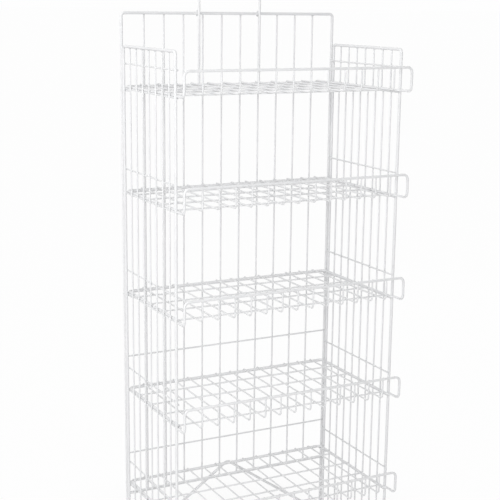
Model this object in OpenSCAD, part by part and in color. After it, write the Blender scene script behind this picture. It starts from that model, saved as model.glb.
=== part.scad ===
// Wire display rack: a back frame, two hinged side frames, five wire baskets and a sign holder.
// Millimetres, X right, Y towards the back, Z up. The floor is Z = 0.

/* [Overall] */
// Distance between the centres of the two back posts
post_pitch = 574; // [560:1:590]
// Height of the top bar's centre above the floor
rack_h = 1400; // [1390:1:1420]
// Distance from a side frame's back post to its front post
side_depth = 304; // [298:1:312]

/* [Wire] */
// Diameter of the back frame's and side frames' wire
frame_d = 7; // [6.8:0.1:7.2]
// Diameter of the basket rims' and sign holder's wire
rim_d = 6; // [5.8:0.1:6.2]
// Diameter of the filling wires
fill_d = 4; // [3.8:0.1:4.2]

/* [Baskets] */
// Height of the lowest basket's floor
low_shelf_z = 233.5; // [228:0.5:240]
// Distance from one basket to the next
shelf_pitch = 249; // [246:1:252]
// Height of the front lip above the basket's floor
lip_h = 55; // [48:1:60]
// How far the front lip stands out in front of the front posts
lip_reach = 46; // [44:1:52]
// Space between neighbouring wires of the basket's floor
cross_pitch = 40.3; // [38:0.1:41]

/* [Back and sides] */
// Space between neighbouring uprights of the back
back_pitch = 51; // [48:0.5:52]
// Height of the side rail above each basket's floor
rail_rise = 54; // [50:1:58]
// Height of the side frames' top bar
side_top_z = 1323.5; // [1310:0.5:1330]
// Height of the back's bottom bar
back_low_z = 198; // [192:1:204]
// Height of the brace's peak
brace_peak_z = 234; // [226:1:242]
// Height of the brace's ends
brace_end_z = 33; // [31:1:60]

/* [Sign holder] */
// Distance between the centres of the two rods
sign_pitch = 164; // [150:1:176]
// How far the sign holder stands to the left of the middle
sign_offset = 8; // [0:1:12]
// Height of the sign holder above the top bar
sign_rise = 228; // [150:1:260]

/* [Hidden] */
$fn = 48;
shelf_count = 5;
back_count = 10;
side_count = 7;
cross_count = 13;
cross_span = (cross_count - 1) * cross_pitch;
// The top basket has one wire fewer, over the same width
function cross_places(k) = [
    for (i = [0 : cross_count - (k == 1 ? 2 : 1)])
        (i / (cross_count - (k == 1 ? 2 : 1)) - 0.5) * cross_span
];

// How deep two welded wires sink into each other
weld = 0.3;
// Space between pieces that move past each other
gap = 0.3;

frame_r = frame_d / 2;
rim_r = rim_d / 2;
fill_r = fill_d / 2;

// The side frames stand just in front of the rack's back posts and turn about them.
hinge_gap = 12;
post_x = post_pitch / 2;
side_back_y = -hinge_gap;
side_front_y = -hinge_gap - side_depth;

// Filling wires lie inside the side frame's bars, and rails inside the filling wires.
rail_x = post_x - frame_r - fill_r + weld;
side_fill_x = rail_x + fill_d - weld;
// Filling wires below the top basket: the right side has one more
function low_count(side) = side > 0 ? side_count + 1 : side_count;
function fill_pitch(count) = (side_back_y - side_front_y) / (count + 1);

// Wires of the back frame
back_fill_y = 1.5;
back_rail_y = back_fill_y - fill_d + weld;
brace_y = frame_r + frame_r - weld;

// Basket
rim_x = post_x - frame_r - 1 - rim_r;
rim_back_y = back_rail_y - rim_r - 0.3;
lip_x = post_x;
lip_y = side_front_y - lip_reach;
jog_r = (lip_x - rim_x) / 2;
jog_y = side_front_y - frame_r - rim_r - 1.5;
rim_end_y = jog_y + jog_r + 2;
long_z = 0.6;
cross_z = rim_r + fill_r - 0.6;
bar_y = lip_y + rim_r + fill_r - weld;
bar_bend = 9;
long_first = 71;
long_step = 74.5;
long_last_y = side_front_y + 11;

// Ledges that the baskets rest on, at a distance of a gap from the rim
ledge_dx = rail_x - rim_x;
ledge_drop = sqrt(pow(rim_r + fill_r + gap, 2) - pow(ledge_dx, 2));
back_ledge_dy = back_rail_y - rim_back_y;
back_ledge_drop = sqrt(pow(rim_r + fill_r + gap, 2) - pow(back_ledge_dy, 2));

// Feet
cap_d = 13;
cap_h = 24;
cap_floor = 3;
glide_d = 13;
glide_l = 26;
glide_pad_d = 18;
side_low_z = 13.5;
fit_r = frame_r - 0.05;

// Hooks that hold the side frames to the rack's back posts
hook_bend_r = frame_r + gap + fill_r;
hook_leg = 34;
hook_tail = 1.5;
hook_shelves = [1, 3, 5];

// Sign holder
sign_y = -(frame_r + rim_r + gap);
sign_low_z = low_shelf_z + (shelf_count - 1) * shelf_pitch + 4.5;
hook_z = rack_h + frame_r + fill_r + gap;
hook_y = frame_r + fill_r + gap;
hook_drop = 12;

// The middle of the object's depth is Y = 0.
rear_reach = brace_y + frame_r;
front_reach = lip_y - rim_r;
y_shift = -(rear_reach + front_reach) / 2;

white = [0.93, 0.93, 0.93];
plastic = [0.8, 0.8, 0.82];

// Height of basket k's floor; basket 1 is the top one
function shelf_z(k) = low_shelf_z + (shelf_count - k) * shelf_pitch;

function unit(v) = v / norm(v);
function clamp(c) = max(-1, min(1, c));
function turn(a, b, c) = acos(clamp(unit(b - a) * unit(c - b)));
function setback(a, b, c, r) = r * tan(turn(a, b, c) / 2);
function pick(r, i) = is_list(r) ? r[i] : r;

// A straight wire from point a to point b
module rod(a, b, d) {
    v = b - a;
    translate(a)
        rotate([0, acos(clamp(v[2] / norm(v))), atan2(v[1], v[0])])
            cylinder(h = norm(v), d = d);
}

// The bend at point b of a wire that comes from a and goes on to c
module bend(a, b, c, r, d) {
    u = unit(b - a);
    w = unit(c - b);
    n = unit(cross(u, w));
    out = cross(u, n);
    start = b - u * setback(a, b, c, r);
    centre = start - out * r;
    multmatrix([
        [out[0], u[0], n[0], centre[0]],
        [out[1], u[1], n[1], centre[1]],
        [out[2], u[2], n[2], centre[2]]
    ])
        rotate_extrude(angle = turn(a, b, c))
            translate([r, 0])
                circle(d = d);
}

// A wire along the points p. It is bent at radius r, or at one radius for each point.
// closed joins the last point to the first. swell makes the bends thicker, and the
// straight lengths then reach into them.
module wire(p, r, d, closed = false, swell = 0) {
    n = len(p);
    ends = closed ? n : n - 1;
    reach = swell > 0 ? 0.3 : 0;
    for (i = [0 : ends - 1]) {
        j = (i + 1) % n;
        a = p[i];
        b = p[j];
        before = p[(i + n - 1) % n];
        after = p[(i + 2) % n];
        bend_a = closed || i > 0;
        bend_b = closed || i < ends - 1;
        cut_a = bend_a ? setback(before, a, b, pick(r, i)) - reach : 0;
        cut_b = bend_b ? setback(a, b, after, pick(r, j)) - reach : 0;
        if (norm(b - a) - cut_a - cut_b > 0.01)
            rod(a + unit(b - a) * cut_a, b - unit(b - a) * cut_b, d);
        if (bend_b)
            bend(a, b, after, pick(r, j), d + swell);
    }
}

// Back frame's posts and top bar, one bent wire
module back_frame() {
    color(white)
        translate([0, y_shift, 0])
            wire([
                [-post_x, 0, cap_floor],
                [-post_x, 0, rack_h],
                [post_x, 0, rack_h],
                [post_x, 0, cap_floor]
            ], 8.5, frame_d);
}

module back_bottom_bar() {
    color(white)
        translate([0, y_shift, 0])
            rod([1 - post_x, 0, back_low_z], [post_x - 1, 0, back_low_z], frame_d);
}

module back_uprights() {
    color(white)
        translate([0, y_shift, 0])
            for (i = [0 : back_count - 1]) {
                x = (i - (back_count - 1) / 2) * back_pitch;
                rod([x, back_fill_y, back_low_z], [x, back_fill_y, rack_h], fill_d);
            }
}

// Two more rails across the lower part of the back
module back_rails() {
    color(white)
        translate([0, y_shift, 0])
            for (z = [shelf_z(4) + 81.5, shelf_z(5) + 74.5])
                rod([1 - post_x, back_rail_y, z], [post_x - 1, back_rail_y, z], fill_d);
}

// One rail under the back of each basket
module back_ledges() {
    color(white)
        translate([0, y_shift, 0])
            for (k = [1 : shelf_count]) {
                z = shelf_z(k) - back_ledge_drop;
                rod([1 - post_x, back_rail_y, z], [post_x - 1, back_rail_y, z], fill_d);
            }
}

module back_brace() {
    color(white)
        translate([0, y_shift + brace_y, 0])
            wire([
                [-post_x, 0, brace_end_z],
                [0, 0, brace_peak_z],
                [post_x, 0, brace_end_z]
            ], 14, frame_d, swell = 0.04);
}

module back_foot_caps() {
    color(plastic)
        for (x = [-post_x, post_x])
            translate([x, y_shift, 0])
                rotate_extrude()
                    polygon([
                        [0, 0],
                        [cap_d / 2 - 1, 0],
                        [cap_d / 2, 1],
                        [cap_d / 2, cap_h - 3],
                        [cap_d / 2 - 1.5, cap_h],
                        [fit_r, cap_h],
                        [fit_r, cap_floor],
                        [0, cap_floor]
                    ]);
}

// Side frame's posts and bars, one closed wire
module side_frame(side) {
    x = side * post_x;
    color(white)
        translate([0, y_shift, 0])
            wire([
                [x, side_back_y, side_low_z],
                [x, side_back_y, side_top_z],
                [x, side_front_y, side_top_z],
                [x, side_front_y, side_low_z]
            ], 8.5, frame_d, closed = true);
}

// Evenly spaced filling wires of a side, between two heights
module side_fill(side, count, from_z, to_z) {
    x = side * side_fill_x;
    for (i = [1 : count]) {
        y = side_back_y - i * fill_pitch(count);
        rod([x, y, from_z], [x, y, to_z], fill_d);
    }
}

// Filling wires; on the right they change at the top basket's ledge
module side_uprights(side) {
    meet_z = shelf_z(1) - ledge_drop;
    color(white)
        translate([0, y_shift, 0])
            if (low_count(side) == side_count)
                side_fill(side, side_count, side_low_z, side_top_z);
            else {
                side_fill(side, low_count(side), side_low_z, meet_z + 1.5);
                side_fill(side, side_count, meet_z - 1.5, side_top_z);
            }
}

module side_rails(side) {
    x = side * rail_x;
    color(white)
        translate([0, y_shift, 0])
            for (k = [1 : shelf_count]) {
                z = shelf_z(k) + rail_rise;
                rod([x, side_back_y, z], [x, side_front_y, z], fill_d);
            }
}

// Rails that the baskets' side wires rest on
module side_ledges(side) {
    x = side * rail_x;
    color(white)
        translate([0, y_shift, 0])
            for (k = [1 : shelf_count]) {
                z = shelf_z(k) - ledge_drop;
                rod([x, side_back_y, z], [x, side_front_y, z], fill_d);
            }
}

// Hooks welded under the ledges' ends and bent round the rack's back post
module side_hooks(side) {
    color(white)
        for (k = hook_shelves)
            translate([side * post_x, y_shift, shelf_z(k) - ledge_drop - fill_d + weld])
                wire([
                    [-side * hook_bend_r, -hook_leg, 0],
                    [-side * hook_bend_r, hook_bend_r, 0],
                    [side * hook_tail, hook_bend_r, 0]
                ], hook_bend_r, fill_d);
}

// Clips on the side frame's bottom bar that glide on the floor
module side_glides(side) {
    pad_h = side_low_z - glide_d / 2 + 1;
    place = 1.5 * fill_pitch(low_count(side));
    color(plastic)
        for (y = [side_back_y - place, side_front_y + place])
            translate([side * post_x, y + y_shift, 0])
                difference() {
                    union() {
                        cylinder(h = pad_h, d = glide_pad_d);
                        translate([0, glide_l / 2, side_low_z])
                            rotate([90, 0, 0])
                                cylinder(h = glide_l, d = glide_d);
                    }
                    translate([0, glide_l, side_low_z])
                        rotate([90, 0, 0])
                            cylinder(h = 2 * glide_l, r = fit_r);
                }
}

module left_frame() {
    side_frame(-1);
}

module left_uprights() {
    side_uprights(-1);
}

module left_rails() {
    side_rails(-1);
}

module left_ledges() {
    side_ledges(-1);
}

module left_hooks() {
    side_hooks(-1);
}

module left_glides() {
    side_glides(-1);
}

module right_frame() {
    side_frame(1);
}

module right_uprights() {
    side_uprights(1);
}

module right_rails() {
    side_rails(1);
}

module right_ledges() {
    side_ledges(1);
}

module right_hooks() {
    side_hooks(1);
}

module right_glides() {
    side_glides(1);
}

// Basket's rim at the back and sides, one wire bent flat
module shelf_rim(k) {
    color(white)
        translate([0, y_shift, shelf_z(k)])
            wire([
                [-rim_x, rim_end_y, 0],
                [-rim_x, rim_back_y, 0],
                [rim_x, rim_back_y, 0],
                [rim_x, rim_end_y, 0]
            ], 12, rim_d);
}

// Front lip: it widens in front of the posts and then stands up
module shelf_lip(k) {
    color(white)
        translate([0, y_shift, shelf_z(k)])
            wire([
                [-rim_x, rim_end_y, 0],
                [-rim_x, jog_y, 0],
                [-lip_x, jog_y, 0],
                [-lip_x, lip_y, 0],
                [-lip_x, lip_y, lip_h],
                [lip_x, lip_y, lip_h],
                [lip_x, lip_y, 0],
                [lip_x, jog_y, 0],
                [rim_x, jog_y, 0],
                [rim_x, rim_end_y, 0]
            ], [0, jog_r, jog_r, 12, 12, 12, 12, jog_r, jog_r, 0], rim_d);
}

module shelf_long_wires(k) {
    places = [
        rim_back_y + 5.2 - long_first,
        rim_back_y + 5.2 - long_first - long_step,
        rim_back_y + 5.2 - long_first - 2 * long_step,
        long_last_y
    ];
    color(white)
        translate([0, y_shift, shelf_z(k) + long_z])
            for (y = places)
                rod([1 - rim_x, y, 0], [rim_x - 1, y, 0], fill_d);
}

module shelf_cross_wires(k) {
    color(white)
        translate([0, y_shift, shelf_z(k) + cross_z])
            for (x = cross_places(k))
                rod([x, rim_back_y, 0], [x, bar_y + bar_bend, 0], fill_d);
}

// Upturned front ends of the floor's wires, up to the lip
module shelf_lip_bars(k) {
    color(white)
        translate([0, y_shift, shelf_z(k)])
            for (x = cross_places(k))
                wire([
                    [x, bar_y + bar_bend, cross_z],
                    [x, bar_y, cross_z],
                    [x, bar_y, lip_h + 1]
                ], bar_bend, fill_d);
}

// Sign holder's frame, one bent wire
module sign_frame() {
    left = -sign_offset - sign_pitch / 2;
    right = -sign_offset + sign_pitch / 2;
    color(white)
        translate([0, y_shift + sign_y, 0])
            wire([
                [left, 0, sign_low_z],
                [left, 0, rack_h + sign_rise],
                [right, 0, rack_h + sign_rise],
                [right, 0, sign_low_z]
            ], 14, rim_d);
}

// Hooks over the top bar
module sign_hooks() {
    color(white)
        for (s = [-1, 1])
            translate([s * sign_pitch / 2 - sign_offset, y_shift, 0])
                wire([
                    [0, sign_y, hook_z],
                    [0, hook_y, hook_z],
                    [0, hook_y, hook_z - hook_drop]
                ], 4, fill_d);
}

back_frame();
back_bottom_bar();
back_uprights();
back_rails();
back_ledges();
back_brace();
back_foot_caps();
left_frame();
left_uprights();
left_rails();
left_ledges();
left_hooks();
left_glides();
right_frame();
right_uprights();
right_rails();
right_ledges();
right_hooks();
right_glides();
shelf_rim(1);  // shelf_1_rim
shelf_lip(1);  // shelf_1_lip
shelf_long_wires(1);  // shelf_1_long_wires
shelf_cross_wires(1);  // shelf_1_cross_wires
shelf_lip_bars(1);  // shelf_1_lip_bars
shelf_rim(2);  // shelf_2_rim
shelf_lip(2);  // shelf_2_lip
shelf_long_wires(2);  // shelf_2_long_wires
shelf_cross_wires(2);  // shelf_2_cross_wires
shelf_lip_bars(2);  // shelf_2_lip_bars
shelf_rim(3);  // shelf_3_rim
shelf_lip(3);  // shelf_3_lip
shelf_long_wires(3);  // shelf_3_long_wires
shelf_cross_wires(3);  // shelf_3_cross_wires
shelf_lip_bars(3);  // shelf_3_lip_bars
shelf_rim(4);  // shelf_4_rim
shelf_lip(4);  // shelf_4_lip
shelf_long_wires(4);  // shelf_4_long_wires
shelf_cross_wires(4);  // shelf_4_cross_wires
shelf_lip_bars(4);  // shelf_4_lip_bars
shelf_rim(5);  // shelf_5_rim
shelf_lip(5);  // shelf_5_lip
shelf_long_wires(5);  // shelf_5_long_wires
shelf_cross_wires(5);  // shelf_5_cross_wires
shelf_lip_bars(5);  // shelf_5_lip_bars
sign_frame();
sign_hooks();
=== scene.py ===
"""Finishes, weld beads, wire tips and foot rings of the wire basket display rack, and studio."""

import logging
import math
from dataclasses import dataclass, field
from enum import Enum
from typing import Iterable, Sequence

import bpy
from mathutils import Matrix, Vector


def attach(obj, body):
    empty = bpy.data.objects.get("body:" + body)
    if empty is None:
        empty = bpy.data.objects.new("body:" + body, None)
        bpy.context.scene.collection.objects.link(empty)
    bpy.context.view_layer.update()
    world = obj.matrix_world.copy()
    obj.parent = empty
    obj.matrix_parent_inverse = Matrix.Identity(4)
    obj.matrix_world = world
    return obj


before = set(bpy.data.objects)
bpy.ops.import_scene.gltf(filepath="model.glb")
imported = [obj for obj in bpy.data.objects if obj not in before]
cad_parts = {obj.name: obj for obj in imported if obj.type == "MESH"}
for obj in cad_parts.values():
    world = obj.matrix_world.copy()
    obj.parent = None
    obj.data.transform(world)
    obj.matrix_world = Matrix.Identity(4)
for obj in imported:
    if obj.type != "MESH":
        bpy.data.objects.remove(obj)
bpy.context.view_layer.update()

LOG = logging.getLogger("rack")
MM = 0.001
ALONG_X = Vector((1, 0, 0))
ALONG_Y = Vector((0, 1, 0))
ALONG_Z = Vector((0, 0, 1))


class Side(Enum):
    """A side panel of the rack, with the sign of its X."""

    LEFT = -1
    RIGHT = 1

    @property
    def word(self) -> str:
        """The side's name as the CAD nodes spell it."""
        return self.name.lower()


class Joint(Enum):
    """How two wires are welded: half width and half height of the bead, in metres."""

    CROSSING = (2.5 * MM, 1.35 * MM)
    RIM_CROSSING = (3.0 * MM, 1.6 * MM)
    BUTT = (2.9 * MM, 1.5 * MM)
    HEAVY_BUTT = (4.5 * MM, 1.9 * MM)
    SEAM = (2.3 * MM, 1.3 * MM)
    RIM_SEAM = (3.25 * MM, 1.2 * MM)


@dataclass(frozen=True)
class Rack:
    """The sizes in metres that several parts of the rack share, in the CAD's frame.

    Places in Y are counted from the back posts' centres; y() turns them into the frame's Y.

    Attributes:
        post_x: Half the distance between the left and the right posts.
        frame_r: Radius of the frames' wire.
        rim_r: Radius of the basket rims' and the sign holder's wire.
        fill_r: Radius of the filling wires.
        weld_sink: How far inside a thick wire's surface its welds sit.
        top_z: Height of the back frame's top bar.
        side_low_z: Height of the side frames' bottom bars.
        side_back: Place in Y of the side frames' back posts.
        side_front: Place in Y of the side frames' front posts.
        side_wires: How many filling wires each side has above the top basket's floor.
        baskets: How many baskets there are; basket 1 is the top one.
        lowest_z: Height of the lowest basket's floor.
        basket_pitch: Distance from one basket's floor to the next.
        middle: How far the back posts stand behind the frame's middle.
    """

    post_x: float = 0.287
    frame_r: float = 0.0035
    rim_r: float = 0.003
    fill_r: float = 0.002
    weld_sink: float = 0.1 * MM
    top_z: float = 1.400
    side_low_z: float = 0.0135
    side_back: float = -0.012
    side_front: float = -0.316
    side_wires: int = 7
    baskets: int = 5
    lowest_z: float = 0.2335
    basket_pitch: float = 0.249
    middle: float = 0.1774

    def y(self, behind_posts: float) -> float:
        """The frame's Y of a place that lies this far behind the back posts' centres."""
        return behind_posts + self.middle

    def shelf_z(self, number: int) -> float:
        """The height of a basket's floor."""
        return self.lowest_z + (self.baskets - number) * self.basket_pitch

    def floors(self) -> list[float]:
        """The heights of all the baskets' floors, from the top one down."""
        return [self.shelf_z(number) for number in range(1, self.baskets + 1)]

    def low_count(self, sign: int) -> int:
        """How many filling wires a side has below the top basket; the right side has one more."""
        return self.side_wires + 1 if sign > 0 else self.side_wires

    def fill_pitch(self, count: int) -> float:
        """The distance between a side's filling wires where it has this many."""
        return (self.side_back - self.side_front) / (count + 1)

    def side_ys(self, count: int) -> list[float]:
        """The places in Y of a side's filling wires where it has this many."""
        return [self.side_back - i * self.fill_pitch(count) for i in range(1, count + 1)]


RACK = Rack()


class Number:
    """A number socket of a node tree that can be used in sums."""

    def __init__(self, graph: "Graph", socket: bpy.types.NodeSocket) -> None:
        """Wraps a socket.

        Args:
            graph: The tree that new Math nodes go into.
            socket: The output that carries the number.
        """
        self.graph = graph
        self.socket = socket

    def _sum(self, operation: str, a: "Number | float", b: "Number | float") -> "Number":
        """Adds one Math node and returns its result."""
        node = self.graph.add("ShaderNodeMath", {"operation": operation}, {0: a, 1: b})
        return Number(self.graph, node.outputs[0])

    def __add__(self, other: "Number | float") -> "Number":
        """self + other"""
        return self._sum("ADD", self, other)

    def __radd__(self, other: "Number | float") -> "Number":
        """other + self"""
        return self._sum("ADD", other, self)

    def __sub__(self, other: "Number | float") -> "Number":
        """self - other"""
        return self._sum("SUBTRACT", self, other)

    def __rsub__(self, other: "Number | float") -> "Number":
        """other - self"""
        return self._sum("SUBTRACT", other, self)

    def __mul__(self, other: "Number | float") -> "Number":
        """self * other"""
        return self._sum("MULTIPLY", self, other)

    def __rmul__(self, other: "Number | float") -> "Number":
        """other * self"""
        return self._sum("MULTIPLY", other, self)

    def most(self, other: "Number | float") -> "Number":
        """The larger of the two."""
        return self._sum("MAXIMUM", self, other)

    def ramp(self, low: float, high: float) -> "Number":
        """Turns the number into a mask.

        Args:
            low: Where the mask starts to rise from 0.
            high: Where it has reached 1.

        Returns:
            The mask, which runs smoothly between the two.
        """
        node = self.graph.add(
            "ShaderNodeMapRange",
            {"interpolation_type": "SMOOTHSTEP"},
            {"Value": self, "From Min": low, "From Max": high, "To Min": 0.0, "To Max": 1.0},
        )
        return Number(self.graph, node.outputs["Result"])


class Graph:
    """A node tree and the one way in which this script adds nodes to it."""

    def __init__(self, tree: bpy.types.NodeTree) -> None:
        """Wraps a tree and empties it.

        Args:
            tree: The material's, world's or Geometry Nodes tree.
        """
        self.tree = tree
        tree.nodes.clear()

    def add(
        self,
        kind: str,
        settings: dict[str, object] | None = None,
        inputs: dict[str | int, object] | None = None,
    ) -> bpy.types.Node:
        """Adds a node.

        Args:
            kind: The node's type name.
            settings: Its own settings, made before its sockets are filled.
            inputs: A plain value, a socket or a Number for each socket, by name or place.

        Returns:
            The new node.
        """
        node = self.tree.nodes.new(kind)
        for name, value in (settings or {}).items():
            setattr(node, name, value)
        for name, value in (inputs or {}).items():
            socket = node.inputs[name]
            if isinstance(value, Number):
                self.tree.links.new(value.socket, socket)
            elif isinstance(value, bpy.types.NodeSocket):
                self.tree.links.new(value, socket)
            else:
                socket.default_value = value
        return node

    def noise(self, where: bpy.types.NodeSocket, size: float, detail: float) -> Number:
        """A noise pattern.

        Args:
            where: The coordinates it is read at, in metres.
            size: The width of its blotches in metres.
            detail: How many finer layers it has.

        Returns:
            The noise's value, about 0.5 on average.
        """
        node = self.add(
            "ShaderNodeTexNoise",
            {"noise_dimensions": "3D"},
            {"Vector": where, "Scale": 1.0 / size, "Detail": detail, "Roughness": 0.55},
        )
        return Number(self, node.outputs["Fac"])

    def blend(self, share: Number, a: object, b: object) -> bpy.types.NodeSocket:
        """Mixes two colours.

        Args:
            share: How much of the second colour shows.
            a: The first colour, plain or a socket.
            b: The second colour, plain or a socket.

        Returns:
            The mixed colour's socket.
        """
        node = self.add("ShaderNodeMix", {"data_type": "RGBA"}, {0: share, 6: a, 7: b})
        return node.outputs[2]

    def bump(self, strength: float, depth: float, height: Number) -> bpy.types.NodeSocket:
        """Turns a height into a bumpy surface.

        Args:
            strength: How strongly the bumps show.
            depth: How high a height of 1 stands, in metres.
            height: The height from 0 to 1.

        Returns:
            The bumpy surface's normal.
        """
        values = {"Strength": strength, "Distance": depth, "Height": height}
        return self.add("ShaderNodeBump", None, values).outputs["Normal"]

    def finish(self, skin: bpy.types.Node, kind: str = "ShaderNodeOutputMaterial") -> None:
        """Ends the tree with a shader.

        Args:
            skin: The shader's node.
            kind: The type name of the output node.
        """
        self.add(kind, None, {"Surface": skin.outputs[0]})


def blank_material(name: str) -> tuple[bpy.types.Material, Graph]:
    """Makes a material without nodes.

    Args:
        name: The material's name.

    Returns:
        The material and its tree.
    """
    made = bpy.data.materials.new(name)
    made.use_nodes = True
    return made, Graph(made.node_tree)


def rgba(colour: Sequence[float]) -> tuple[float, float, float, float]:
    """A colour with full opacity."""
    return (colour[0], colour[1], colour[2], 1.0)


@dataclass(frozen=True)
class PowderCoat:
    """Baked white powder coat on steel wire: an even skin with a fine orange peel.

    Attributes:
        name: The material's name.
        colour: Its usual colour.
        cloud: The slightly duller colour that it drifts to.
        dirt: The colour of handling marks and of dust that sits in the skin.
        steel: The colour of the bare steel where the coat has rubbed through.
        marks: The share of the surface that handling marks reach.
        worn: The share where the coat has rubbed through.
        cloud_width: The width of one duller patch, in metres.
        mark_width: The width of one handling mark, in metres.
        peel: The width of one bump of the orange peel, in metres.
        pit_width: The width of one speck of dust, in metres.
        rub_width: The width of one rubbed spot, in metres.
        depth: The height of the orange peel, in metres.
        roughness: Its usual roughness.
    """

    name: str
    colour: tuple[float, float, float] = (0.79, 0.79, 0.795)
    cloud: tuple[float, float, float] = (0.765, 0.768, 0.775)
    dirt: tuple[float, float, float] = (0.56, 0.55, 0.53)
    steel: tuple[float, float, float] = (0.33, 0.335, 0.345)
    marks: float = 0.12
    worn: float = 0.0
    cloud_width: float = 48 * MM
    mark_width: float = 9 * MM
    peel: float = 1.3 * MM
    pit_width: float = 0.42 * MM
    rub_width: float = 3.2 * MM
    depth: float = 0.05 * MM
    roughness: float = 0.38

    def material(self) -> bpy.types.Material:
        """Builds the coat's material.

        Returns:
            The finished material.
        """
        made, g = blank_material(self.name)
        where = g.add("ShaderNodeTexCoord").outputs["Object"]
        cloud = g.noise(where, self.cloud_width, 3.0)
        hand = g.noise(where, self.mark_width, 5.0)
        peel = g.noise(where, self.peel, 1.5)
        pits = g.noise(where, self.pit_width, 1.0)
        # Handling marks keep to the duller patches; specks of dust lie everywhere.
        marks = hand.ramp(0.74 - 0.22 * self.marks, 0.86) * cloud.ramp(0.42, 0.66) * self.marks
        speck = pits.ramp(0.72, 0.80) * 0.35
        colour = g.blend(cloud.ramp(0.30, 0.72), rgba(self.colour), rgba(self.cloud))
        colour = g.blend(marks.most(speck), colour, rgba(self.dirt))
        metallic: Number | float = 0.0
        roughness = (hand - 0.5) * 0.1 + peel * 0.06 + (self.roughness - 0.03)
        height = peel * 0.75 + hand * 0.25
        if self.worn > 0.0:
            # Rubbed spots show smooth bare steel, a little deeper than the coat.
            rub = g.noise(where, self.rub_width, 4.0)
            gain = 0.1 * self.worn
            bare = rub.ramp(0.66 - gain, 0.70 - gain) * cloud.ramp(0.45, 0.52)
            colour = g.blend(bare, colour, rgba(self.steel))
            metallic = bare * 0.9
            roughness = roughness + bare * 0.08
            height = height - bare * 0.8
        values = {
            "Base Color": colour,
            "Metallic": metallic,
            "Roughness": roughness,
            "Specular IOR Level": 0.38,
            "Coat Weight": 0.06,
            "Coat Roughness": 0.25,
            "Normal": g.bump(0.8, self.depth, height),
        }
        g.finish(g.add("ShaderNodeBsdfPrincipled", None, values))
        return made


@dataclass(frozen=True)
class MouldedPlastic:
    """Injection-moulded plastic with a fine spark-eroded grain, dirtier towards the floor.

    Attributes:
        name: The material's name.
        colour: Its usual colour.
        dirt: The colour of floor dirt.
        dirt_top: The height in metres up to which floor dirt reaches.
        flow: How bright the flow marks are beside the usual colour.
        flow_width: The width of one flow mark, in metres.
        grain: The width of the moulded grain, in metres.
        scrape_width: The width of one scrape, in metres.
        depth: The height of grain and scrapes, in metres.
        roughness: Its usual roughness.
    """

    name: str
    colour: tuple[float, float, float]
    dirt: tuple[float, float, float] = (0.17, 0.165, 0.155)
    dirt_top: float = 7 * MM
    flow: float = 0.88
    flow_width: float = 14 * MM
    grain: float = 0.5 * MM
    scrape_width: float = 1.6 * MM
    depth: float = 0.06 * MM
    roughness: float = 0.48

    def material(self) -> bpy.types.Material:
        """Builds the plastic's material.

        Returns:
            The finished material.
        """
        made, g = blank_material(self.name)
        where = g.add("ShaderNodeTexCoord").outputs["Object"]
        height = Number(g, g.add("ShaderNodeSeparateXYZ", None, {0: where}).outputs["Z"])
        flow = g.noise(where, self.flow_width, 3.0)
        grain = g.noise(where, self.grain, 2.0)
        scrape = g.noise(where, self.scrape_width, 4.0)
        low = (1.0 - height.ramp(0.0, self.dirt_top)) * (scrape * 0.8 + 0.15)
        duller = [self.flow * part for part in self.colour]
        colour = g.blend(flow.ramp(0.3, 0.7), rgba(self.colour), rgba(duller))
        colour = g.blend(low.most(scrape.ramp(0.68, 0.8) * 0.3), colour, rgba(self.dirt))
        values = {
            "Base Color": colour,
            "Roughness": (scrape - 0.5) * 0.2 + self.roughness,
            "Normal": g.bump(0.7, self.depth, grain * 0.6 + scrape * 0.4),
        }
        g.finish(g.add("ShaderNodeBsdfPrincipled", None, values))
        return made


@dataclass
class Finishes:
    """Every material of the rack.

    Attributes:
        wire: The frames' and the sign holder's coat.
        basket: The baskets' coat, which is handled more.
        ledge: The coat of ledges and side frame hooks, rubbed by what rests and turns on them.
        weld: The coat over weld beads, painted darker to stand in for the shade where wires cross.
        tip: The soft caps on the sign holder's hooks.
        foot: The post caps and the clips under the side frames.
    """

    wire: bpy.types.Material = field(init=False)
    basket: bpy.types.Material = field(init=False)
    ledge: bpy.types.Material = field(init=False)
    weld: bpy.types.Material = field(init=False)
    tip: bpy.types.Material = field(init=False)
    foot: bpy.types.Material = field(init=False)

    def __post_init__(self) -> None:
        """Builds the materials."""
        self.wire = PowderCoat("white_frame_coat").material()
        self.basket = PowderCoat("white_basket_coat", marks=0.16, roughness=0.36).material()
        self.ledge = PowderCoat("rubbed_ledge_coat", marks=0.25, worn=0.12).material()
        # Painted shade: the weld beads' coat is darker and greyer than the frame's, with heavier
        # marks, to stand in for the shade where wires cross.
        self.weld = PowderCoat(
            "weld_painted_shade_coat",
            colour=(0.70, 0.70, 0.71),
            cloud=(0.60, 0.605, 0.62),
            marks=0.35,
            peel=0.7 * MM,
            depth=0.12 * MM,
            roughness=0.46,
        ).material()
        vinyl = MouldedPlastic("clear_white_vinyl", (0.70, 0.71, 0.72), dirt_top=0.1 * MM)
        self.tip = vinyl.material()
        self.foot = MouldedPlastic("grey_foot_plastic", (0.56, 0.57, 0.59)).material()


def add_object(name: str, data: bpy.types.ID) -> bpy.types.Object:
    """Adds an object to the scene.

    Args:
        name: Its name.
        data: Its mesh, lamp or camera.

    Returns:
        The new object, at the origin.
    """
    made = bpy.data.objects.new(name, data)
    bpy.context.scene.collection.objects.link(made)
    return made


def dress(nodes: Iterable[str], finish: bpy.types.Material) -> None:
    """Gives CAD nodes their finish.

    Args:
        nodes: The CAD nodes' names.
        finish: The material for all of them.
    """
    for name in nodes:
        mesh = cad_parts[name].data
        mesh.materials.clear()
        mesh.materials.append(finish)
        mesh.polygons.foreach_set("material_index", [0] * len(mesh.polygons))
        LOG.info("%s: %s", name, finish.name)


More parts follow.
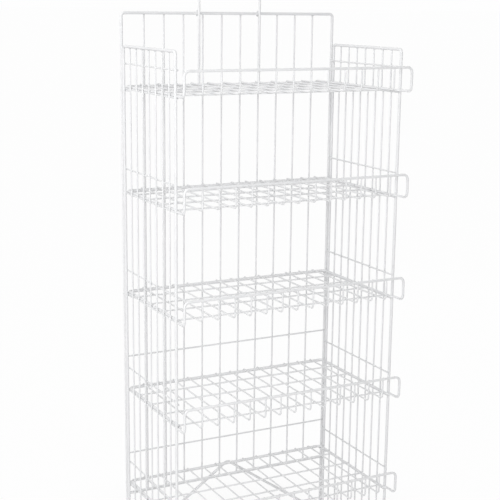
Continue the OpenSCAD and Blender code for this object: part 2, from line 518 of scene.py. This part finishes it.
def lathe(
    name: str,
    profile: Sequence[tuple[float, float]],
    places: Iterable[Matrix],
    segments: int = 24,
) -> bpy.types.Object:
    """Turns an outline about Z and copies it to several places, as one closed mesh.

    Args:
        name: The new object's name.
        profile: Radius and height of each corner. It runs from the axis out and back to the
            axis, or for a ring, round to where it started.
        places: A matrix for each copy.
        segments: How many steps a turn has.

    Returns:
        The new object, at the origin.
    """
    is_ring = profile[0] == profile[-1]
    points: list[Vector] = []
    faces: list[tuple[int, ...]] = []
    for place in places:
        rows: list[list[int]] = []
        for radius, height in profile[:-1] if is_ring else profile:
            row = []
            for i in range(segments if radius > 0.0 else 1):
                angle = 2.0 * math.pi * i / segments
                row.append(len(points))
                at = Vector((radius * math.cos(angle), radius * math.sin(angle), height))
                points.append(place @ at)
            rows.append(row)
        if is_ring:
            rows.append(rows[0])
        for low, high in zip(rows, rows[1:]):
            for i in range(segments):
                j = (i + 1) % segments
                a, b = low[i % len(low)], low[j % len(low)]
                c, d = high[j % len(high)], high[i % len(high)]
                corners = tuple(dict.fromkeys((a, b, c, d)))
                if len(corners) > 2:
                    faces.append(corners)
    mesh = bpy.data.meshes.new(name)
    mesh.from_pydata(points, [], faces)
    mesh.polygons.foreach_set("use_smooth", [True] * len(mesh.polygons))
    mesh.validate()
    mesh.update()
    LOG.info("%s: %d faces", name, len(mesh.polygons))
    return add_object(name, mesh)


@dataclass
class Bead:
    """A weld bead or wire tip: where it sits, which way it faces and its half sizes."""

    place: Vector
    facing: Vector
    half: tuple[float, float]

    @classmethod
    def weld(cls, x: float, y: float, z: float, facing: Vector, joint: Joint) -> "Bead":
        """A weld at x, y and z, with y counted from the back posts' centres."""
        return cls(Vector((x, RACK.y(y), z)), facing, joint.value)

    @classmethod
    def tip(
        cls, x: float, y: float, z: float, facing: Vector, radius: float, reach: float
    ) -> "Bead":
        """A wire's rounded end, placed as a weld is, that stands out by its reach."""
        return cls(Vector((x, RACK.y(y), z)), facing, (radius, reach))


def bead_tree() -> bpy.types.GeometryNodeTree:
    """Builds the Geometry Nodes tree that puts a squashed round bead on each point.

    Returns:
        A tree with the inputs Geometry, Segments, Rings, Variation, Seed and Finish.
    """
    tree = bpy.data.node_groups.new("weld_beads", "GeometryNodeTree")
    g = Graph(tree)
    face = tree.interface
    face.new_socket("Geometry", in_out="INPUT", socket_type="NodeSocketGeometry")
    for name, kind, value in (
        ("Segments", "NodeSocketInt", 10),
        ("Rings", "NodeSocketInt", 5),
        ("Variation", "NodeSocketFloat", 0.12),
        ("Seed", "NodeSocketInt", 1),
        ("Finish", "NodeSocketMaterial", None),
    ):
        socket = face.new_socket(name, in_out="INPUT", socket_type=kind)
        if value is not None:
            socket.default_value = value
    face.new_socket("Geometry", in_out="OUTPUT", socket_type="NodeSocketGeometry")
    given = g.add("NodeGroupInput").outputs
    ball = g.add(
        "GeometryNodeMeshUVSphere",
        None,
        {"Segments": given["Segments"], "Rings": given["Rings"], "Radius": 1.0},
    )
    smooth = g.add("GeometryNodeSetShadeSmooth", None, {"Geometry": ball.outputs["Mesh"]})
    points = g.add("GeometryNodeMeshToPoints", None, {"Mesh": given["Geometry"]})
    facing, half = (
        g.add(
            "GeometryNodeInputNamedAttribute", {"data_type": "FLOAT_VECTOR"}, {"Name": name}
        ).outputs["Attribute"]
        for name in ("facing", "half")
    )
    turn = g.add("FunctionNodeAlignRotationToVector", {"axis": "Z"}, {"Vector": facing})
    spread = Number(g, given["Variation"])
    vary = g.add(
        "FunctionNodeRandomValue",
        {"data_type": "FLOAT"},
        {2: 1.0 - spread, 3: 1.0 + spread, "Seed": given["Seed"]},
    )
    size = g.add(
        "ShaderNodeVectorMath", {"operation": "SCALE"}, {0: half, "Scale": vary.outputs[1]}
    )
    placed = g.add(
        "GeometryNodeInstanceOnPoints",
        None,
        {
            "Points": points.outputs["Points"],
            "Instance": smooth.outputs["Geometry"],
            "Rotation": turn.outputs["Rotation"],
            "Scale": size.outputs["Vector"],
        },
    )
    real = g.add("GeometryNodeRealizeInstances", None, {"Geometry": placed.outputs["Instances"]})
    dressed = g.add(
        "GeometryNodeSetMaterial",
        None,
        {"Geometry": real.outputs["Geometry"], "Material": given["Finish"]},
    )
    g.add("NodeGroupOutput", None, {"Geometry": dressed.outputs["Geometry"]})
    return tree


@dataclass
class BeadMaker:
    """Turns lists of beads into meshes, one for each body."""

    tree: bpy.types.GeometryNodeTree = field(default_factory=bead_tree)

    def make(
        self,
        name: str,
        body: str,
        beads: Sequence[Bead],
        finish: bpy.types.Material,
        slot: str = "white_wire",
        variation: float = 0.0,
        seed: int = 1,
    ) -> None:
        """Makes one mesh of beads that rides on a body.

        Args:
            name: The new piece's name.
            body: The CAD body that it rides on.
            beads: Where the beads sit.
            finish: Their material.
            slot: The record's material slot; not used.
            variation: How much their size varies, as a share.
            seed: The seed of that variation.
        """
        cloud = bpy.data.meshes.new(name + "_points")
        cloud.from_pydata([bead.place for bead in beads], [], [])
        facing = cloud.attributes.new("facing", "FLOAT_VECTOR", "POINT")
        half = cloud.attributes.new("half", "FLOAT_VECTOR", "POINT")
        for i, bead in enumerate(beads):
            facing.data[i].vector = bead.facing
            half.data[i].vector = (bead.half[0], bead.half[0], bead.half[1])
        carrier = add_object(name + "_carrier", cloud)
        modifier = carrier.modifiers.new("beads", "NODES")
        modifier.node_group = self.tree
        ids = {
            item.name: item.identifier
            for item in self.tree.interface.items_tree
            if item.item_type == "SOCKET" and item.in_out == "INPUT"
        }
        modifier[ids["Variation"]] = variation
        modifier[ids["Seed"]] = seed
        modifier[ids["Finish"]] = finish
        graph = bpy.context.evaluated_depsgraph_get()
        mesh = bpy.data.meshes.new_from_object(carrier.evaluated_get(graph))
        mesh.name = name
        for made in list(mesh.attributes):
            if made.name in ("facing", "half"):
                mesh.attributes.remove(made)
        bpy.data.objects.remove(carrier)
        bpy.data.meshes.remove(cloud)
        piece = add_object(name, mesh)
        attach(piece, body)
        LOG.info("%s: %d beads, %d faces", name, len(beads), len(mesh.polygons))


@dataclass
class BackPanel:
    """The welded back: posts, bars, filling wires, ledges and brace.

    Attributes:
        finishes: The rack's materials.
        beads: The maker of weld beads.
        nodes: The CAD nodes with the plain frame coat.
        low_z: Height of the bottom bar.
        fill_y: Place in Y of the uprights.
        uprights: How many uprights there are.
        upright_pitch: Distance from one upright to the next.
        rail_y: Place in Y of the rails and ledges.
        rail_zs: Heights of the rails.
        ledge_drop: How far a ledge lies under its basket's floor.
        ledge_weld_rise: How far the welds at a ledge's ends sit above it, which keeps them clear
            of the side frames' hooks.
        brace_foot: X and Z of the brace's welds on the posts.
        brace_cross_x: X of the brace's welds on the bottom bar.
    """

    finishes: Finishes
    beads: BeadMaker
    nodes: tuple[str, ...] = (
        "back_frame",
        "back_bottom_bar",
        "back_uprights",
        "back_rails",
        "back_brace",
    )
    low_z: float = 0.198
    fill_y: float = 0.0015
    uprights: int = 10
    upright_pitch: float = 0.051
    rail_y: float = -0.0022
    rail_zs: tuple[float, float] = (0.564, 0.308)
    ledge_drop: float = 0.004147
    ledge_weld_rise: float = 0.9 * MM
    brace_foot: tuple[float, float] = (0.284, 0.0355)
    brace_cross_x: float = 0.0514

    def welds(self) -> list[Bead]:
        """Lists the back's welds.

        Returns:
            A bead for each weld: upright by upright, then the left end and the right end.
        """
        r = RACK
        found: list[Bead] = []
        ledges = [z - self.ledge_drop for z in r.floors()]
        between = (self.fill_y + self.rail_y) / 2
        for i in range(self.uprights):
            x = (i - (self.uprights - 1) / 2) * self.upright_pitch
            for z in (*self.rail_zs, *ledges):
                found.append(Bead.weld(x, between, z, ALONG_Y, Joint.CROSSING))
            for z in (r.top_z - r.frame_r, self.low_z + r.frame_r):
                found.append(Bead.weld(x, self.fill_y, z, ALONG_Z, Joint.BUTT))
        foot_x, foot_z = self.brace_foot
        touch = r.frame_r - r.weld_sink
        for sign in (-1, 1):
            edge = sign * (r.post_x - r.frame_r)
            for z in self.rail_zs:
                found.append(Bead.weld(edge, self.rail_y, z, ALONG_X, Joint.BUTT))
            for z in ledges:
                raised = z + self.ledge_weld_rise
                found.append(Bead.weld(edge, self.rail_y, raised, ALONG_X, Joint.SEAM))
            found.append(Bead.weld(edge, 0.0, self.low_z, ALONG_X, Joint.HEAVY_BUTT))
            for x, z in ((foot_x, foot_z), (self.brace_cross_x, self.low_z)):
                found.append(Bead.weld(sign * x, touch, z, ALONG_Y, Joint.HEAVY_BUTT))
        return found

    def build(self) -> None:
        """Dresses the CAD nodes and adds the welds."""
        dress(self.nodes, self.finishes.wire)
        dress(("back_ledges",), self.finishes.ledge)
        welds = self.welds()
        self.beads.make(
            "back_welds", "back_panel", welds, self.finishes.weld, variation=0.14, seed=11
        )


@dataclass
class SidePanel:
    """One welded side frame, which turns about its back post.

    Attributes:
        side: Which of the two it is.
        finishes: The rack's materials.
        beads: The maker of weld beads.
        top_z: Height of the top bar.
        fill_x: How far out the filling wires lie.
        rail_x: How far out the rails and ledges lie.
        rail_rise: How far a rail lies above its basket's floor.
        ledge_drop: How far a ledge lies under its basket's floor.
        hook_shelves: The baskets under whose ledges the hooks are.
        hook_drop: How far a hook lies under its basket's floor.
        hook_bend: Distance from the back post's centre to a hook's wire.
        hook_tail: How far out a hook's end reaches past the post's centre.
        hook_seam_ys: Places in Y of the welds between a hook and its ledge.
        tip_reach: How far a hook's rounded end stands out.
    """

    side: Side
    finishes: Finishes
    beads: BeadMaker
    top_z: float = 1.3235
    fill_x: float = 0.2855
    rail_x: float = 0.2818
    rail_rise: float = 0.054
    ledge_drop: float = 0.004775
    hook_shelves: tuple[int, ...] = (1, 3, 5)
    hook_drop: float = 0.008475
    hook_bend: float = 0.0058
    hook_tail: float = 0.0015
    hook_seam_ys: tuple[float, ...] = (-0.019, -0.025, -0.031)
    tip_reach: float = 1.0 * MM

    def welds(self) -> list[Bead]:
        """Lists the side's welds.

        Returns:
            A bead for each weld: on the filling wires, on the posts, then on the hooks.
        """
        r = RACK
        sign = self.side.value
        found: list[Bead] = []
        heights = [z + self.rail_rise for z in r.floors()]
        heights += [z - self.ledge_drop for z in r.floors()]
        # Above the top basket's ledge a side has its upper wires, and below it its lower ones.
        meet = r.shelf_z(1) - self.ledge_drop
        upper, lower = r.side_ys(r.side_wires), r.side_ys(r.low_count(sign))
        high = [z for z in heights if z > meet] + [meet]
        low = [z for z in heights if z < meet] + ([meet] if lower != upper else [])
        between = sign * (self.rail_x + self.fill_x) / 2
        for ys, zs in ((upper, high), (lower, low)):
            found += [Bead.weld(between, y, z, ALONG_X, Joint.CROSSING) for y in ys for z in zs]
        for ys, z in ((upper, self.top_z - r.frame_r), (lower, r.side_low_z + r.frame_r)):
            found += [Bead.weld(sign * self.fill_x, y, z, ALONG_Z, Joint.BUTT) for y in ys]
        face = sign * (r.post_x - r.frame_r + r.weld_sink)
        for y in (r.side_back, r.side_front):
            found += [Bead.weld(face, y, z, ALONG_X, Joint.CROSSING) for z in heights]
        hook_x = sign * (self.rail_x + r.post_x - self.hook_bend) / 2
        for number in self.hook_shelves:
            z = r.shelf_z(number) - (self.ledge_drop + self.hook_drop) / 2
            found += [Bead.weld(hook_x, y, z, ALONG_Z, Joint.SEAM) for y in self.hook_seam_ys]
        return found

    def hook_tips(self) -> list[Bead]:
        """Lists the rounded ends of the hooks behind the rack's back post.

        Returns:
            A bead for each end.
        """
        x = self.side.value * (RACK.post_x + self.hook_tail)
        heights = [RACK.shelf_z(number) - self.hook_drop for number in self.hook_shelves]
        return [
            Bead.tip(x, self.hook_bend, z, ALONG_X, RACK.fill_r, self.tip_reach) for z in heights
        ]

    def build(self) -> None:
        """Dresses the CAD nodes and adds welds and hook ends."""
        word = self.side.word
        body = f"{word}_panel"
        coats = self.finishes
        dress((f"{word}_frame", f"{word}_uprights", f"{word}_rails"), coats.wire)
        dress((f"{word}_ledges", f"{word}_hooks"), coats.ledge)
        seed = 20 + self.side.value
        self.beads.make(
            f"{word}_welds", body, self.welds(), coats.weld, variation=0.14, seed=seed
        )
        self.beads.make(f"{word}_hook_tips", body, self.hook_tips(), coats.ledge)


@dataclass
class Basket:
    """One basket: rim, lip, floor wires and their upturned ends.

    Attributes:
        number: Which of the baskets it is, from 1 at the top.
        finishes: The rack's materials.
        beads: The maker of weld beads.
        parts: The last words of its CAD nodes' names.
        rim_x: How far out the rim's sides lie.
        rim_y: Place in Y of the rim's back wire.
        rim_sink: How far inside the rim's surface its welds with the floor wires sit.
        rim_seam_y: Place in Y of the seams between rim and lip.
        lip_y: Place in Y of the lip.
        lip_h: Height of the lip above the basket's floor.
        bar_y: Place in Y of the floor wires' upturned ends.
        bar_rise: How far these ends reach above the lip's centre.
        long_ys: Places in Y of the floor wires that run from side to side.
        long_z: Their height above the basket's floor.
        cross_z: Height of the floor wires from back to front above it.
        cross_gaps: How many gaps these wires leave; the top basket has one fewer.
        cross_pitch: The usual width of such a gap.
        tip_reach: How far a wire's rounded end stands out.
    """

    number: int
    finishes: Finishes
    beads: BeadMaker
    parts: tuple[str, ...] = ("rim", "lip", "long_wires", "cross_wires", "lip_bars")
    rim_x: float = 0.2795
    rim_y: float = -0.0055
    rim_sink: float = 0.3 * MM
    rim_seam_y: float = -0.31825
    lip_y: float = -0.362
    lip_h: float = 0.055
    bar_y: float = -0.3573
    bar_rise: float = 1.0 * MM
    long_ys: tuple[float, ...] = (-0.0713, -0.1458, -0.2203, -0.305)
    long_z: float = 0.0006
    cross_z: float = 0.0044
    cross_gaps: int = 12
    cross_pitch: float = 0.0403
    tip_reach: float = 1.1 * MM

    def cross_xs(self) -> list[float]:
        """The X of each wire from back to front; all baskets' wires fill the same width."""
        gaps = self.cross_gaps - 1 if self.number == 1 else self.cross_gaps
        return [(i / gaps - 0.5) * self.cross_gaps * self.cross_pitch for i in range(gaps + 1)]

    def welds(self) -> list[Bead]:
        """Lists the basket's welds.

        Returns:
            A bead for each weld: wire by wire, then the left side and the right side.
        """
        r = RACK
        z = r.shelf_z(self.number)
        between = z + (self.long_z + self.cross_z) / 2
        on_rim = z + r.rim_r - self.rim_sink
        on_lip = self.lip_y + r.rim_r - r.weld_sink
        found: list[Bead] = []
        for x in self.cross_xs():
            found += [Bead.weld(x, y, between, ALONG_Z, Joint.CROSSING) for y in self.long_ys]
            found.append(Bead.weld(x, self.rim_y, on_rim, ALONG_Z, Joint.RIM_CROSSING))
            found.append(Bead.weld(x, on_lip, z + self.lip_h, ALONG_Y, Joint.RIM_CROSSING))
        for sign in (-1, 1):
            edge = sign * (self.rim_x - r.rim_r)
            for y in self.long_ys:
                found.append(Bead.weld(edge, y, z + self.long_z, ALONG_X, Joint.BUTT))
            found.append(
                Bead.weld(sign * self.rim_x, self.rim_seam_y, z, ALONG_Y, Joint.RIM_SEAM)
            )
        return found

    def tips(self) -> list[Bead]:
        """Lists the rounded cut ends of the lip's bars and of the floor wires.

        Returns:
            Two beads for each wire: at its upturned front end and at its back end.
        """
        z = RACK.shelf_z(self.number)
        bar_top = z + self.lip_h + self.bar_rise
        size = (RACK.fill_r, self.tip_reach)
        found: list[Bead] = []
        for x in self.cross_xs():
            found.append(Bead.tip(x, self.bar_y, bar_top, ALONG_Z, *size))
            found.append(Bead.tip(x, self.rim_y, z + self.cross_z, ALONG_Y, *size))
        return found

    def build(self) -> None:
        """Dresses the CAD nodes and adds welds and wire tips."""
        name = f"shelf_{self.number}"
        coats = self.finishes
        dress([f"{name}_{part}" for part in self.parts], coats.basket)
        seed = 30 + self.number
        self.beads.make(f"{name}_welds", name, self.welds(), coats.weld, variation=0.16, seed=seed)
        self.beads.make(f"{name}_wire_tips", name, self.tips(), coats.basket)


@dataclass
class SignHolder:
    """The sign holder's wire frame, its hooks and the vinyl caps on the hooks' ends.

    Attributes:
        finishes: The rack's materials.
        beads: The maker of weld beads.
        rod_xs: X of the two rods.
        rod_y: Place in Y of the rods.
        low_z: Height of the rods' lower ends.
        end_reach: How far a rod's rounded end stands out.
        hook_z: Height of the hooks' welds on the rods.
        hook_y: Place in Y of the hooks' hanging ends.
        hook_end_z: Height of these ends.
        cap_wall: Thickness of a cap.
        cap_length: Length of a cap.
    """

    finishes: Finishes
    beads: BeadMaker
    rod_xs: tuple[float, float] = (-0.090, 0.074)
    rod_y: float = -0.0068
    low_z: float = 1.234
    end_reach: float = 1.2 * MM
    hook_z: float = 1.4058
    hook_y: float = 0.0058
    hook_end_z: float = 1.3938
    cap_wall: float = 0.55 * MM
    cap_length: float = 5.5 * MM

    def caps(self) -> None:
        """Makes the soft caps on the hooks' ends, each with a rolled mouth."""
        r, t, length = RACK.fill_r, self.cap_wall, self.cap_length
        profile = [
            (0.0, -0.9 * MM),
            (0.45 * r, -0.8 * MM),
            (0.8 * r, -0.45 * MM),
            (r + 0.6 * t, 0.25 * MM),
            (r + t, 1.1 * MM),
            (r + t, length - 1.2 * MM),
            (r + 1.5 * t, length - 0.9 * MM),
            (r + 1.7 * t, length - 0.45 * MM),
            (r + 1.4 * t, length),
            (r - 0.1 * MM, length + 0.1 * MM),
            (0.0, length - 0.2 * MM),
        ]
        ends = [(x, RACK.y(self.hook_y), self.hook_end_z) for x in self.rod_xs]
        caps = lathe("sign_hook_caps", profile, [Matrix.Translation(end) for end in ends])
        caps.data.materials.append(self.finishes.tip)
        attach(caps, "sign_holder")

    def build(self) -> None:
        """Dresses the CAD nodes and adds welds, rod ends and caps."""
        coats = self.finishes
        dress(("sign_frame", "sign_hooks"), coats.wire)
        seat = self.rod_y + RACK.rim_r
        welds = [Bead.weld(x, seat, self.hook_z, ALONG_Y, Joint.BUTT) for x in self.rod_xs]
        self.beads.make("sign_welds", "sign_holder", welds, coats.weld, variation=0.1, seed=50)
        size = (RACK.rim_r, self.end_reach)
        ends = [Bead.tip(x, self.rod_y, self.low_z, ALONG_Z, *size) for x in self.rod_xs]
        self.beads.make("sign_rod_ends", "sign_holder", ends, coats.wire)
        self.caps()


@dataclass
class Feet:
    """Grip rings on the post caps and on the clips under the side frames.

    Attributes:
        finishes: The rack's materials.
        cap_r: Radius of a post cap.
        cap_rings: Heights of the rings on it.
        clip_r: Radius of a clip.
        clip_rings: Places of the rings along it, counted from its middle.
        clip_gaps: How far the clips sit from the side frame's posts, in gaps of its wires.
        proud: How far a ring stands out.
        segments: How many steps a ring has.
    """

    finishes: Finishes
    cap_r: float = 6.5 * MM
    cap_rings: tuple[float, ...] = (6 * MM, 10.5 * MM, 15 * MM)
    clip_r: float = 6.5 * MM
    clip_rings: tuple[float, ...] = (-9.5 * MM, 9.5 * MM)
    clip_gaps: float = 1.5
    proud: float = 0.45 * MM
    segments: int = 32

    def ring(self, radius: float, at: float) -> list[tuple[float, float]]:
        """Draws a rounded ring's outline.

        Args:
            radius: The radius of the shaft that it sits on.
            at: Its height on the shaft.

        Returns:
            Radius and height of each corner, round to the first one.
        """
        foot = radius + 0.1 * MM
        sunk = radius - 0.4 * MM
        return [
            (sunk, at - 0.9 * MM),
            (foot, at - 0.75 * MM),
            (radius + self.proud, at - 0.3 * MM),
            (radius + self.proud, at + 0.3 * MM),
            (foot, at + 0.75 * MM),
            (sunk, at + 0.9 * MM),
            (sunk, at - 0.9 * MM),
        ]

    def build(self) -> None:
        """Dresses caps and clips and adds their grip rings."""
        dress(("back_foot_caps", "left_glides", "right_glides"), self.finishes.foot)
        r = RACK
        posts = [Matrix.Translation((sign * r.post_x, r.y(0), 0)) for sign in (-1, 1)]
        for i, height in enumerate(self.cap_rings, 1):
            outline = self.ring(self.cap_r, height)
            ring = lathe(f"post_cap_ring_{i}", outline, posts, self.segments)
            ring.data.materials.append(self.finishes.foot)
            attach(ring, "back_panel")
        for side in Side:
            inset = self.clip_gaps * r.fill_pitch(r.low_count(side.value))
            clips = []
            for y in (r.side_back - inset, r.side_front + inset):
                at = Matrix.Translation((side.value * r.post_x, r.y(y), r.side_low_z))
                clips.append(at @ Matrix.Rotation(math.radians(90), 4, "X"))
            for i, along in enumerate(self.clip_rings, 1):
                outline = self.ring(self.clip_r, along)
                ring = lathe(f"{side.word}_clip_ring_{i}", outline, clips, self.segments)
                ring.data.materials.append(self.finishes.foot)
                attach(ring, f"{side.word}_panel")


@dataclass(frozen=True)
class Lamp:
    """A square soft lamp.

    Attributes:
        name: Its name.
        place: Where it hangs, in metres.
        size: The length of its side in metres.
        watts: Its power.
    """

    name: str
    place: tuple[float, float, float]
    size: float
    watts: float

    def hang(self, target: Vector) -> None:
        """Puts the lamp into the scene.

        Args:
            target: The place that it faces.
        """
        data = bpy.data.lights.new(self.name, "AREA")
        data.shape = "SQUARE"
        data.size = self.size
        data.energy = self.watts
        lamp = add_object(self.name, data)
        turn = (target - Vector(self.place)).to_track_quat("-Z", "Y")
        lamp.matrix_world = Matrix.Translation(self.place) @ turn.to_matrix().to_4x4()
        LOG.info("%s lamp: %.1f W", self.name, self.watts)


@dataclass
class Studio:
    """Camera, floor, world and lamps.

    Attributes:
        unit: The camera fit's unit of length in metres, which is the back posts' distance.
        camera_at: The camera's place in that unit, counted from the middle of the top bar.
        yaw: The camera's turn to the right, in radians.
        pitch: Its tilt upwards, in radians.
        roll: Its turn about its own line of sight, in radians.
        focal_px: Its focal length, in pixels of the picture.
        centre_px: The place in the picture that lies straight ahead.
        picture_px: The picture's width and height.
        film_mm: The width of the camera's film.
        clip: The nearest and the farthest distance that it sees, in metres.
        backdrop: The white that shows behind the rack.
        sky: The colour of the even light from all round.
        ambient: The strength of that light.
        floor_half: Half the floor's width, in metres.
        floor_colour: The floor's own colour.
        shadow_reach: The distances from the rack's middle between which the floor pales.
        floor_white: The share of plain white under the rack.
        floor_paling: How much that share grows further out.
        target: The place that the lamps face.
        lamps: The lamps.
    """

    unit: float = 0.574
    camera_at: tuple[float, float, float] = (-2.22625, -4.51967, 0.03539)
    yaw: float = 0.47567
    pitch: float = -0.22100
    roll: float = 0.01102
    focal_px: float = 1156.449
    centre_px: tuple[float, float] = (250.0, 265.0)
    picture_px: float = 500.0
    film_mm: float = 36.0
    clip: tuple[float, float] = (0.05, 900.0)
    backdrop: tuple[float, float, float] = (0.991, 0.991, 0.991)
    sky: tuple[float, float, float] = (0.985, 0.99, 1.0)
    ambient: float = 0.435
    floor_half: float = 400.0
    floor_colour: tuple[float, float, float] = (0.93, 0.93, 0.93)
    shadow_reach: tuple[float, float] = (0.1, 0.8)
    floor_white: float = 0.82
    floor_paling: float = 0.17
    target: tuple[float, float, float] = (0.0, 0.0, 0.8)
    lamps: tuple[Lamp, ...] = (
        Lamp("near_front", (-0.9, -1.2, 1.2), 0.8, 2.2),
        Lamp("front", (-1.6, -3.1, 1.9), 0.9, 41.0),
        Lamp("high_left", (-2.6, 0.0, 3.4), 1.5, 54.0),
        Lamp("right", (1.4, -3.3, 1.5), 2.2, 5.5),
        Lamp("back_right", (2.6, 2.2, 1.6), 2.0, 16.0),
    )

    def camera(self) -> None:
        """Puts the camera at the photograph's viewpoint."""
        ahead = Vector((math.sin(self.yaw), math.cos(self.yaw), 0))
        right = Vector((math.cos(self.yaw), -math.sin(self.yaw), 0))
        forward = math.cos(self.pitch) * ahead + math.sin(self.pitch) * ALONG_Z
        over = -math.sin(self.pitch) * ahead + math.cos(self.pitch) * ALONG_Z
        right_rolled = math.cos(self.roll) * right + math.sin(self.roll) * over
        over_rolled = -math.sin(self.roll) * right + math.cos(self.roll) * over
        data = bpy.data.cameras.new("viewpoint")
        data.sensor_width = self.film_mm
        data.lens = self.focal_px * self.film_mm / self.picture_px
        data.shift_x = (self.picture_px / 2 - self.centre_px[0]) / self.picture_px
        data.shift_y = (self.centre_px[1] - self.picture_px / 2) / self.picture_px
        data.clip_start, data.clip_end = self.clip
        camera = add_object("viewpoint", data)
        turn = Matrix((right_rolled, over_rolled, -forward)).transposed().to_4x4()
        place = Vector(self.camera_at) * self.unit + Vector((0, RACK.middle, RACK.top_z))
        camera.matrix_world = Matrix.Translation(place) @ turn
        bpy.context.scene.camera = camera
        LOG.info("camera at %s", tuple(round(v, 3) for v in place))

    def seen_white(self, g: Graph) -> Number:
        """Tells the rays whose background has to be plain white from the rest.

        Args:
            g: The tree that the answer is for.

        Returns:
            One for the camera's, glossy and transmission rays, and nothing for the others.
        """
        path = g.add("ShaderNodeLightPath").outputs
        seen = Number(g, path["Is Camera Ray"]).most(Number(g, path["Is Glossy Ray"]))
        return seen.most(Number(g, path["Is Transmission Ray"]))

    def world(self) -> None:
        """Sets an even grey surround that the camera sees as white."""
        world = bpy.data.worlds.new("studio")
        world.use_nodes = True
        bpy.context.scene.world = world
        g = Graph(world.node_tree)
        grey = {"Color": rgba(self.sky), "Strength": self.ambient}
        light = g.add("ShaderNodeBackground", None, grey)
        plain = {"Color": rgba(self.backdrop), "Strength": 1.0}
        white = g.add("ShaderNodeBackground", None, plain)
        parts = {0: self.seen_white(g), 1: light.outputs[0], 2: white.outputs[0]}
        g.finish(g.add("ShaderNodeMixShader", None, parts), "ShaderNodeOutputWorld")

    def floor(self) -> None:
        """Lays a pale floor that keeps the rack's soft shadow and shows white."""
        s = self.floor_half
        mesh = bpy.data.meshes.new("floor")
        mesh.from_pydata([(-s, -s, 0), (s, -s, 0), (s, s, 0), (-s, s, 0)], [], [(0, 1, 2, 3)])
        floor = add_object("floor", mesh)
        made, g = blank_material("studio_floor")
        where = g.add("ShaderNodeTexCoord").outputs["Object"]
        length = g.add("ShaderNodeVectorMath", {"operation": "LENGTH"}, {0: where})
        away = Number(g, length.outputs["Value"])
        matt = g.add("ShaderNodeBsdfDiffuse", None, {"Color": rgba(self.floor_colour)})
        plain = {"Color": rgba(self.backdrop), "Strength": 1.0}
        white = g.add("ShaderNodeEmission", None, plain)
        share = away.ramp(*self.shadow_reach) * self.floor_paling + self.floor_white
        parts = {0: self.seen_white(g) * share, 1: matt.outputs[0], 2: white.outputs[0]}
        g.finish(g.add("ShaderNodeMixShader", None, parts))
        mesh.materials.append(made)

    def build(self) -> None:
        """Sets the whole studio up."""
        self.camera()
        self.world()
        self.floor()
        for lamp in self.lamps:
            lamp.hang(Vector(self.target))
        bpy.context.scene.view_settings.view_transform = "Standard"


def main() -> None:
    """Builds the studio and dresses the rack."""
    logging.basicConfig(level=logging.INFO, format="%(name)s: %(message)s")
    Studio().build()
    finishes = Finishes()
    beads = BeadMaker()
    BackPanel(finishes, beads).build()
    for side in Side:
        SidePanel(side, finishes, beads).build()
    for number in range(1, RACK.baskets + 1):
        Basket(number, finishes, beads).build()
    SignHolder(finishes, beads).build()
    Feet(finishes).build()


if __name__ == "__main__":
    main()
